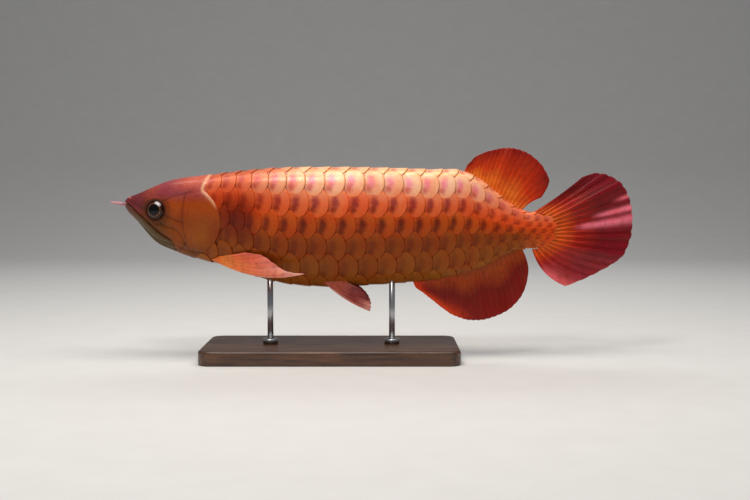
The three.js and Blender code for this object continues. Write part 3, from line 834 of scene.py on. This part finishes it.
def columns():
    """Places of the scale columns: each row uses every other one, half a scale apart."""
    found = [FIRST_COLUMN]
    while found[-1] < BODY_END:
        found.append(found[-1] + float(column_pitch(found[-1])) / 2)
    while found[0] > 60:
        found.insert(0, found[0] - float(column_pitch(found[0])) / 2)
    return np.array(found), found.index(FIRST_COLUMN)


def has_scale(s, w):
    p = body.at(np.array([s]), np.array([w]))
    if behind_gill(p[:, [0, 2]])[0] < -1:
        return False
    beyond = (s - TAIL_BASE["s"]) / (TAIL_BASE["reach"] - 3)
    high = (p[0, 2] - TAIL_BASE["h"]) / (TAIL_BASE["half"] * 1.1)
    return s < TAIL_BASE["s"] or beyond**2 + high**2 < 1


def scale_shape(s0, w0, pitch, chance):
    """Points, local places and patch places of one scale's top, rolled rim and underside."""
    rows, cols = SCALE_GRID
    p, t = np.meshgrid(np.linspace(0, 1, rows), np.linspace(-1, 1, cols), indexing="ij")
    across = np.sin(t * math.pi / 2)
    behind = SCALE_BEHIND * np.sqrt(np.maximum(0, 1 - across**2))
    before = SCALE_BEFORE * (1 - 0.25 * across**2) ** 2
    along = -before + (before + behind) * p
    round_mm = float(body.length_round(s0))
    half = SCALE_HALF * float(row_pitch(abs(w0))) * round_mm
    s = s0 + along * pitch
    w = w0 + across * half / round_mm
    x = along / SCALE_BEHIND
    lift = -COAT_DEPTH + SCALE_LIFT * (0.12 + 0.88 * step(along, -0.62, 0.72))
    lift = lift - 0.22 * across**4 + rng.normal(0, 0.03)
    top = body.raised(s, w, lift)
    down = across if w0 > 0 else -across
    local = np.stack([x, down, np.full_like(x, chance)], -1)
    edge = border(rows, cols)
    edge_s, edge_w, edge_lift = (values.ravel()[edge] for values in (s, w, lift))
    inner_s = edge_s + (s0 - edge_s) * UNDER_INSET
    inner_w = edge_w + (w0 - edge_w) * UNDER_INSET
    under = body.raised(inner_s, inner_w, edge_lift - SCALE_THICK)
    middle = body.raised(np.array([s0]), np.array([w0]), np.array([lift.mean() - SCALE_THICK]))
    points = np.vstack([top.reshape(-1, 3), under, middle])
    local = np.vstack([local.reshape(-1, 3), local.reshape(-1, 3)[edge], [[0, 0, chance]]])
    place_s = np.concatenate([s.ravel(), inner_s, [s0]])
    place_q = np.abs((np.concatenate([w.ravel(), inner_w, [w0]]) + 1) % 2 - 1)
    tint_place = (0.3 * s0 + 0.7 * place_s, 0.35 * abs(w0) + 0.65 * place_q)
    length = SCALE_BEFORE + SCALE_BEHIND
    patch = np.stack([(along + SCALE_BEFORE) / length * PATCH_TOP, t / 2 + 0.5], -1)
    strip = np.stack([np.full(len(edge), PATCH_RIM), np.arange(len(edge)) / len(edge)], 1)
    patch = np.vstack([patch.reshape(-1, 2), strip, [[1.0, 0.5]]])
    return points, local, tint_place, patch


def scale_faces():
    rows, cols = SCALE_GRID
    edge = border(rows, cols).tolist()
    first = rows * cols
    count = len(edge)
    faces = flipped(grid_faces(rows, cols, False).tolist())
    faces += [[edge[k], edge[(k + 1) % count], first + (k + 1) % count, first + k] for k in range(count)]
    return faces + [[first + k, first + (k + 1) % count, first + count] for k in range(count)]


def scale_places():
    """Where the scales of each side sit, along and round the body, and half their pitch."""
    places, first = columns()
    sides = {"left": [], "right": []}
    for k, q in enumerate(ROWS):
        for side, sign in SIDES:
            if q in (0.0, 1.0) and sign > 0:
                continue
            for i in range((k + first) % 2, len(places) - 1, 2):
                half_pitch = places[i + 1] - places[i]
                s = places[i] + 2 * half_pitch * ROW_SHIFT[k]
                if has_scale(s, sign * q):
                    sides[side].append((s, sign * q, half_pitch))
    return sides


def make_scales():
    one_scale = scale_faces()
    for side, found in scale_places().items():
        shapes, faces = [], []
        for s0, w0, half_pitch in found:
            pitch = 2 * half_pitch
            points, local, tint_place, patch = scale_shape(s0, w0, pitch, rng.random())
            cell = np.array([pitch / LENGTH, float(row_pitch(abs(w0))) / 2]) * MAP_SHRINK * PATCH_FILL
            root = MAP_MARGIN + MAP_SHRINK * np.array([s0 / LENGTH, (w0 + 1) / 2])
            first = len(shapes) * len(points)
            faces += [[v + first for v in face] for face in one_scale]
            shapes.append((points, local, root + (patch - 0.5) * cell, *coat_tints(*tint_place)))
        points, local, uv, rim, core = (np.vstack(parts) for parts in zip(*shapes))
        make_piece(
            "scales_" + side, points, faces, SCALES, "skin", uv=uv, colours={"rim": rim, "core": core},
            vectors={"local": local},
        )


make_skin()
make_scales()


# Fins.
def path(*knots):
    """A 3-D line through (u, s, y, h) knots."""
    lines = [line(*((k[0], k[axis]) for k in knots)) for axis in (1, 2, 3)]
    return lambda u: np.stack([f(u) for f in lines], -1)


def ray_profile(u, v, rays, split):
    """1 on a ray and 0 on the web. Each ray splits in two and again towards the edge."""
    phase = u * rays - np.floor(u * rays) - 0.5
    first = 0.15 * step(v, split, split + 0.3)
    second = 0.075 * step(v, split + 0.28, split + 0.5)
    wide = 0.13 - 0.07 * step(v, 0, 0.8)
    best = np.zeros_like(phase)
    for a in (-1, 1):
        for b in (-1, 1):
            gap = (phase - a * first - b * second) / wide
            best = np.maximum(best, np.exp(-gap * gap))
    return best


WEB = 0.42
RAY_RISE = 0.42
NOTCH = 0.012
SPLIT = 0.4
FLARE = 0.05


def make_fin(name, shape, tints):
    """A closed fin with raised rays, a flared root and a slightly notched edge."""
    across, along = shape["grid"]
    u, v = np.meshgrid(np.linspace(0, 1, across), np.linspace(0, 1, along), indexing="ij")
    ray = ray_profile(u, v, shape["rays"], shape.get("split", SPLIT))
    notch = 1 - NOTCH * (1 - ray_profile(u[:, -1], v[:, -1], shape["rays"], SPLIT))
    reach = v * notch[:, None]

    def at(u, v):
        base, margin = shape["base"](u), shape["margin"](u)
        bow = shape["bow"](u) * (4 * v * (1 - v))[..., None]
        return base + (margin - base) * v[..., None] + bow

    d = 0.004
    lengthways = at(u, np.minimum(reach + d, 1)) - at(u, np.maximum(reach - d, 0))
    crossways = at(np.minimum(u + d, 1), reach) - at(np.maximum(u - d, 0), reach)
    normal = np.cross(crossways, lengthways)
    normal /= np.maximum(np.linalg.norm(normal, axis=-1, keepdims=True), 1e-9)
    ruffle = shape["ruffle"] * np.sin(u * shape["folds"] * math.tau) * v**1.3
    points = at(u, reach) + normal * ruffle[..., None]
    root = shape["root"] * np.exp(-v / shape.get("flare", FLARE))
    half = WEB / 2 + root + ray * (RAY_RISE * (1 - 0.55 * v) + 0.05)
    rim = np.minimum(1, np.minimum(u, 1 - u) * across / 3)
    half = (half * (0.55 + 0.45 * rim) * (1 - 0.35 * step(v, 0.96, 1)))[..., None]
    both_sides = np.vstack([(points + normal * half).reshape(-1, 3), (points - normal * half).reshape(-1, 3)])
    front = grid_faces(across, along, False)
    count = across * along
    ring = border(across, along)
    after = np.roll(ring, -1)
    faces = flipped(front.tolist()) + (front + count).tolist()
    faces += np.stack([ring, after, after + count, ring + count], 1).tolist()
    u, v, ray = u.ravel(), v.ravel(), ray.ravel()
    make_piece(
        name, both_sides, faces, FINS, "fin", [name], colours={"tint": np.tile(tints(u, v, ray), (2, 1))},
        numbers={"ray": np.tile(ray, 2), "along": np.tile(v, 2)},
    )


def bend(*parts):
    """A vector along a fin, from three functions of u."""
    return lambda u: np.stack([part(u) + 0 * u for part in parts], -1)


def fin_root(start, length, edge_line, rise):
    """A root inside the body, along its back or belly."""
    return bend(lambda u: start + length * u, lambda u: 0, lambda u: edge_line(start + length * u) + rise)


DORSAL = {
    "base": fin_root(331, 57, back_line, -ROOT_DEPTH),
    "margin": path(
        (0, 336, 0, 62.5), (0.15, 345, 0.6, 70.5), (0.35, 362, 1.2, 76.8), (0.52, 378, 1.2, 78.6),
        (0.7, 397, 0, 72.5), (0.85, 412, -1.4, 57), (0.95, 415.5, -1.6, 42), (1, 409, -0.8, 30),
    ),
    "bow": bend(lambda u: -1.5 * u, lambda u: 1.2 * np.sin(u * 9), lambda u: 1.5 * u),
    "rays": 19, "grid": (230, 54), "root": 2.2, "ruffle": 0.5, "folds": 6,
}
ANAL = {
    "base": fin_root(281, 108, belly_line, ROOT_DEPTH),
    "margin": path(
        (0, 285, 0, -58), (0.15, 299, 0.5, -69), (0.35, 322, 1, -86), (0.5, 340, 0.6, -91.5),
        (0.66, 362, -0.6, -88.5), (0.8, 382, -1.6, -77), (0.92, 394, -1.6, -58), (1, 396.5, -1, -40),
    ),
    "bow": bend(lambda u: 1.5 * u, lambda u: 1.2 * np.sin(u * 10 + 1), lambda u: -1.5 * u),
    "rays": 26, "grid": (312, 54), "root": 2.3, "ruffle": 0.5, "folds": 8,
}


def tail_root(u):
    angle = (0.5 - u) * math.pi
    reach, half = TAIL_BASE["reach"] - ROOT_DEPTH, TAIL_BASE["half"] - 1.5
    s = TAIL_BASE["s"] + reach * np.cos(angle)
    return np.stack([s, 0 * u, TAIL_BASE["h"] + half * np.sin(angle)], -1)


TAIL = {
    "base": tail_root,
    "margin": path(
        (0, 450, 1, 50.5), (0.08, 463, 2.4, 54), (0.17, 477, 1.4, 51.5), (0.27, 490, -1.4, 42),
        (0.37, 498, 1.6, 27), (0.48, 500, -1.8, 9), (0.6, 499, 1.6, -11), (0.71, 490, -1.2, -29),
        (0.82, 472, 1.6, -41.5), (0.92, 452, 0, -51), (1, 434, -1, -58),
    ),
    "bow": bend(
        lambda u: -5 * u**3, lambda u: 1.6 * np.sin(u * 17), lambda u: -4 * u**3 - 1.6 * (1 - u) ** 3,
    ),
    "rays": 18, "grid": (306, 76), "root": 1.3, "flare": 0.09, "ruffle": 0.55, "folds": 9, "split": 0.25,
}


def pectoral(sign):
    return {
        "base": path((0, 86, sign * 6, -30.5), (1, 95, sign * 8.5, -27)),
        "margin": path(
            (0, 179.4, sign * 31, -42.1), (0.18, 167, sign * 29, -41.3), (0.35, 157, sign * 26.5, -38.5),
            (0.55, 147, sign * 23.5, -31.8), (0.75, 137, sign * 21.2, -25.6), (1, 120, sign * 18.8, -22.6),
        ),
        "bow": bend(
            lambda u: 0 * u, lambda u: sign * (1.5 - u), lambda u: -9.6 * np.maximum(1 - u, 0) ** 1.2,
        ),
        "rays": 7, "grid": (91, 70), "root": 1.1, "split": 0.5, "ruffle": 0.25, "folds": 3,
    }


def pelvic(sign):
    return {
        "base": path((0, 195, sign * 3.8, -53), (1, 218, sign * 4.2, -52)),
        "margin": path(
            (0, 240.5, sign * 14.5, -80.5), (0.25, 241.5, sign * 14, -76), (0.6, 238.5, sign * 12.5, -67.5),
            (1, 231, sign * 9.5, -58.5),
        ),
        "bow": bend(lambda u: -1.5 + 0 * u, lambda u: sign * 0.8, lambda u: -2.4 * (1 - u)),
        "rays": 6, "grid": (78, 48), "root": 1.2, "split": 0.5, "ruffle": 0.2, "folds": 3,
    }


def fin_tints(root, web, tip, contrast, leading=None):
    """Colours along a fin: its root, its web, its edge, and how much its rays stand out."""
    stops = gradient((0, root), (0.16, root), (0.5, web), (1, tip))

    def tints(u, v, ray):
        tint = stops(np.clip(v + 0.06 * np.sin(u * 23), 0, 1))
        tint = mix(tint * (1 - contrast), tint * (1 + 0.8 * contrast), ray)
        if leading:
            edge = bell(1 - v, 0.2) * fade(u, 0.3, 0.55)
            glow = np.maximum(bell(u, 0.09), edge)
            tint = mix(tint, srgb(leading), 0.85 * glow * step(v, 0.05, 0.3))
        return tint

    return tints


def tail_tints(u, v, ray):
    tint = gradient((0, "e0641c"), (0.14, "dc5410"), (0.32, "a41e12"), (0.62, "6c0a14"), (1, "720d20"))(v)
    tint = mix(tint * 0.65, tint * 1.4, ray)
    # Painted highlights: pale pink streaks along three of the tail's rays.
    for centre, wide, start in ((0.483, 0.026, 0.22), (0.41, 0.018, 0.45), (0.34, 0.012, 0.75)):
        glow = bell(u - centre, wide) * step(v, start, start + 0.25)
        tint = mix(tint, srgb("ff8296"), glow * 0.92)
    tint = mix(tint, srgb("a8404a"), 0.55 * step(u, 0.66, 0.82) * step(v, 0.12, 0.4) * (0.4 + 0.6 * ray))
    return mix(tint, srgb("ec6a70"), bell(1 - u, 0.05) * step(v, 0.3, 0.6) * 0.9)


make_fin("dorsal_fin", DORSAL, fin_tints("f07420", "cc3c0c", "86160e", 0.16))
make_fin("anal_fin", ANAL, fin_tints("984210", "66100a", "7e1410", 0.1, "f64e18"))
make_fin("tail_fin", TAIL, tail_tints)
PECTORAL_TINTS = fin_tints("ff9446", "ff7e50", "f68070", 0.12, "ffae9c")
PELVIC_TINTS = fin_tints("b85a44", "8e3e3c", "6e2c32", 0.2, "dc9488")
for side, sign in SIDES:
    make_fin("pectoral_fin_" + side, pectoral(sign), PECTORAL_TINTS)
    make_fin("pelvic_fin_" + side, pelvic(sign), PELVIC_TINTS)


# Eyes, nostril tubes and barbels.
EYE_RINGS = 40
EYE_SIDES = 72
EYE_WRAP = math.pi * 0.62


def make_eye(side, sign):
    """A flattened ball cut off inside the head, turned a little forward."""
    rho = np.linspace(0.0, 1.0, EYE_RINGS) ** 0.8
    turn = np.arange(EYE_SIDES) / EYE_SIDES * math.tau
    rho, turn = np.meshgrid(rho, turn, indexing="ij")
    flat = np.sin(rho * EYE_WRAP)
    across = np.stack([flat * np.cos(turn), 0 * flat, flat * np.sin(turn)], -1)
    level = across[..., 0] * EYE["radius"]
    out = np.cos(rho * EYE_WRAP) * EYE["depth"]
    angle = math.radians(EYE["turn"])
    x = level * math.cos(angle) - out * math.sin(angle)
    y = level * math.sin(angle) + out * math.cos(angle)
    reach = body.reach(EYE["s"], EYE["h"]) + EYE["bulge"] - EYE["depth"]
    h = EYE["h"] + across[..., 2] * EYE["radius"]
    points = np.stack([EYE["s"] + x, sign * (reach + y), h], -1).reshape(-1, 3)
    across = across.reshape(-1, 3)
    hub = len(points)
    faces = grid_faces(EYE_RINGS, EYE_SIDES, True)[EYE_SIDES:].tolist()
    faces += [[hub, EYE_SIDES + (k + 1) % EYE_SIDES, EYE_SIDES + k] for k in range(EYE_SIDES)]
    name = "eye_" + side
    make_piece(
        name, np.vstack([points, points[:1]]), flipped(faces) if sign < 0 else faces, EYES, "eye", [name],
        vectors={"across": np.vstack([across, across[:1]])},
    )


def circles(axes, sides):
    """Unit circles round axes, each starting square to the fish's width."""
    axes = axes / np.linalg.norm(axes, axis=1, keepdims=True)
    first = np.cross(axes, [0.0, 1.0, 0.0])
    first /= np.linalg.norm(first, axis=1, keepdims=True)
    second = np.cross(axes, first)
    turn = (np.arange(sides) / sides * math.tau)[None, :, None]
    return np.cos(turn) * first[:, None] + np.sin(turn) * second[:, None]


def tube(centres, radii, sides):
    """Points and faces of a tube along 3-D centres."""
    ring = circles(np.gradient(centres, axis=0), sides)
    points = (centres[:, None] + ring * radii[:, None, None]).reshape(-1, 3)
    return points, flipped(capped(len(centres), sides))


def turned(origin, axis, profile, sides):
    """A turned shape from (radius, height) pairs about an axis."""
    axis = np.array(axis, float) / np.linalg.norm(axis)
    ring = circles(axis[None], sides)[0]
    points = [origin + ring * radius + axis * height for radius, height in profile]
    return np.vstack(points), capped(len(profile), sides)


NOSTRIL = {"s": 8.6, "y": 4.3, "h": 27.4, "length": 4.4, "radius": 1.1, "flare": 0.8, "sides": 28}
NOSTRIL_BORE = [(0.95, 4.55), (0.75, 4.5), (0.62, 4.2), (0.58, 3.6), (0.55, 2.8)]


def make_nostril(side, sign):
    """A short open tube leaning forward, flared where it grows out of the snout."""
    outside = [
        (NOSTRIL["radius"] + NOSTRIL["flare"] * bell(t - 0.15, 0.3), NOSTRIL["length"] * t)
        for t in np.linspace(0, 1, 16)
    ]
    origin = np.array([NOSTRIL["s"], sign * NOSTRIL["y"], NOSTRIL["h"]])
    sides = NOSTRIL["sides"]
    points, faces = turned(origin, (-0.75, sign * 0.45, 1.0), outside + NOSTRIL_BORE, sides)
    tint = np.tile(srgb("d4908c"), (len(points), 1))
    tint[:sides * 6] = srgb("8c4a4c")
    # Painted shade inside the tube's opening.
    tint[-sides * 3:] = srgb("2a0e0c")
    name = "nostril_" + side
    make_piece(name, points, faces, SKIN, "head", [name], colours={"tint": tint})


BARBEL = {"s": 4.2, "y": 2.9, "h": 23.6, "rise": 2.2, "spread": 2.2, "root": 1.75, "tip": 0.55}
BARBEL_GRID = (60, 24)


def make_barbel(side, sign):
    rings, sides = BARBEL_GRID
    t = np.linspace(0, 1, rings)
    centres = np.stack([
        BARBEL["s"] + (-BARBEL_REACH + 0.3 - BARBEL["s"]) * t,
        sign * (BARBEL["y"] + BARBEL["spread"] * t + 0.15 * np.sin(t * 9)),
        BARBEL["h"] + BARBEL["rise"] * t * t + 0.12 * np.sin(t * 11),
    ], 1)
    radii = BARBEL["root"] + (BARBEL["tip"] - BARBEL["root"]) * t**1.7 + 0.5 * bell(t, 0.22)
    radii = radii * np.sqrt(np.maximum(0.03, 1 - np.maximum(0, (t - 0.93) / 0.07) ** 2))
    radii = radii * (1 + 0.035 * np.sin(t * 90))
    name = "barbel_" + side
    points, faces = tube(centres, radii, sides)
    make_piece(name, points, faces, BARBELS, "barbel", [name], numbers={"along": np.repeat(t, sides)})


EYES = eye_material()
BARBELS = barbel_material()
for side, sign in SIDES:
    make_eye(side, sign)
    make_nostril(side, sign)
    make_barbel(side, sign)


# The stand, from its solids' boxes, in metres.
BASE_BEVEL = 0.0025
BASE_CORNER = 0.012
COLLAR_BEVEL = 0.002


def node_box(name):
    low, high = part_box(name)
    return np.array(low), np.array(high)


def rounding(edge, top, bevel, steps):
    """(edge, height) pairs over a rounded upper edge."""
    arc = np.linspace(0, math.pi / 2, steps)[1:]
    return [(edge - bevel * (1 - math.cos(a)), top - bevel * (1 - math.sin(a))) for a in arc]


def add_crisp_piece(name, *rest):
    """A piece whose flat faces stay flat beside its rounded edges."""
    weighted = add_piece(name, *rest).modifiers.new("flat_faces", "WEIGHTED_NORMAL")
    weighted.keep_sharp = True


def make_base():
    low, high = node_box("stand_base")
    centre, half = (low + high) / 2, (high - low) / 2
    profile = [(-BASE_BEVEL * 0.4, low[2]), (0, low[2] + BASE_BEVEL * 0.4), (0, high[2] - BASE_BEVEL)]
    profile += rounding(0, high[2], BASE_BEVEL, 7)
    turn = np.concatenate([np.linspace(0, math.pi / 2, 14) + k * math.pi / 2 for k in range(4)])
    quarter = np.repeat(np.arange(4), 14)
    corner_x = np.where((quarter == 0) | (quarter == 3), 1, -1) * (half[0] - BASE_CORNER)
    corner_y = np.where(quarter < 2, 1, -1) * (half[1] - BASE_CORNER)
    rings = [
        np.stack([
            centre[0] + corner_x + (BASE_CORNER + edge) * np.cos(turn),
            centre[1] + corner_y + (BASE_CORNER + edge) * np.sin(turn),
            np.full(len(turn), z),
        ], 1)
        for edge, z in profile
    ]
    faces = capped(len(rings), len(turn))
    add_crisp_piece("stand_base_wood", np.vstack(rings), faces, wood_material(), "wood", ["stand_base"])


def make_rods():
    steel = steel_material((1, 1, 0.04))
    turned_steel = steel_material((0.2, 0.2, 3))
    for place in ("front", "rear"):
        name = "stand_rod_" + place
        low, high = node_box(name)
        centre, radius = (low + high) / 2 * (1, 1, 0), (high[0] - low[0]) / 2
        rod = turned(centre, (0, 0, 1), [(radius, low[2]), (radius, high[2])], 48)
        add_piece(name + "_steel", *rod, steel, "steel", [name])
        name = "stand_collar_" + place
        low, high = node_box(name)
        outer = (high[0] - low[0]) / 2
        profile = [(outer, low[2] - 0.0003), (outer, high[2] - COLLAR_BEVEL)]
        profile += rounding(outer, high[2], COLLAR_BEVEL, 8)
        profile += [(radius + 0.0006, high[2]), (radius + 0.0002, high[2] - 0.0005)]
        collar = turned(centre, (0, 0, 1), profile, 64)
        add_crisp_piece(name + "_steel", *collar, turned_steel, "steel", [name])


make_base()
make_rods()


# Floor, light and camera.
SWEEP = {"near": -5.0, "far": 2.3, "rise": 2.6, "wide": 5.0, "radius": 1.1}
PHOTO_MM_PER_PIXEL = 0.983
PHOTO_HALF_WIDTH = 375
CAMERA_VIEW = math.radians(40)
CAMERA_RISE = math.radians(4)
CAMERA_TARGET = Vector((0.0019, 0.0, 0.1064))


def put_in_scene(name, data):
    thing = bpy.data.objects.new(name, data)
    bpy.context.scene.collection.objects.link(thing)
    return thing


def make_floor():
    """A pale floor that sweeps up into a wall behind the model."""
    far, radius, wide = SWEEP["far"], SWEEP["radius"], SWEEP["wide"]
    arc = np.linspace(0, math.pi / 2, 24)
    profile = [(SWEEP["near"], 0.0)]
    profile += [(far - radius + radius * math.sin(a), radius - radius * math.cos(a)) for a in arc]
    profile.append((far, SWEEP["rise"]))
    points = [(x, y, z) for y, z in profile for x in (-wide, wide)]
    mesh = bpy.data.meshes.new("floor")
    mesh.from_pydata(points, [], [[2 * k, 2 * k + 1, 2 * k + 3, 2 * k + 2] for k in range(len(profile) - 1)])
    mesh.polygons.foreach_set("use_smooth", np.ones(len(mesh.polygons), bool))
    mesh.materials.append(floor_material())
    put_in_scene("floor", mesh)


def aim(thing):
    offset = thing.location - CAMERA_TARGET
    thing.rotation_euler = offset.to_track_quat("Z", "Y").to_euler()


def add_light(name, place, size, watts, tint, mirrored=True):
    data = bpy.data.lights.new(name, "AREA")
    data.shape = "RECTANGLE"
    data.size, data.size_y = size
    data.energy = watts
    data.color = tint
    light = put_in_scene(name, data)
    light.location = place
    light.visible_glossy = mirrored
    aim(light)


def make_camera():
    away = PHOTO_HALF_WIDTH * PHOTO_MM_PER_PIXEL / 1000 / math.tan(CAMERA_VIEW / 2)
    data = bpy.data.cameras.new("camera")
    data.sensor_fit = "HORIZONTAL"
    data.angle = CAMERA_VIEW
    camera = put_in_scene("camera", data)
    camera.location = (
        CAMERA_TARGET.x, -away * math.cos(CAMERA_RISE), CAMERA_TARGET.z + away * math.sin(CAMERA_RISE),
    )
    aim(camera)
    bpy.context.scene.camera = camera


def make_world():
    sky = bpy.data.worlds.new("studio")
    sky.use_nodes = True
    background = sky.node_tree.nodes["Background"]
    background.inputs["Color"].default_value = (0.86, 0.88, 0.92, 1)
    background.inputs["Strength"].default_value = 0.22
    bpy.context.scene.world = sky


make_floor()
make_camera()
add_light("top_light", (0.0, -0.14, 1.05), (1.3, 0.4), 8.5, (1.0, 0.95, 0.88))
add_light("key_light", (-0.2, -0.56, 0.98), (0.24, 0.2), 3, (1.0, 0.97, 0.93))
add_light("front_fill", (-0.9, -1.5, 0.7), (1.2, 1.0), 4, (1.0, 0.97, 0.94), False)
add_light("rear_rim", (0.0, 0.95, 1.1), (1.4, 0.4), 5, (0.95, 0.97, 1.0), False)
make_world()
bpy.context.scene.view_settings.view_transform = "Standard"
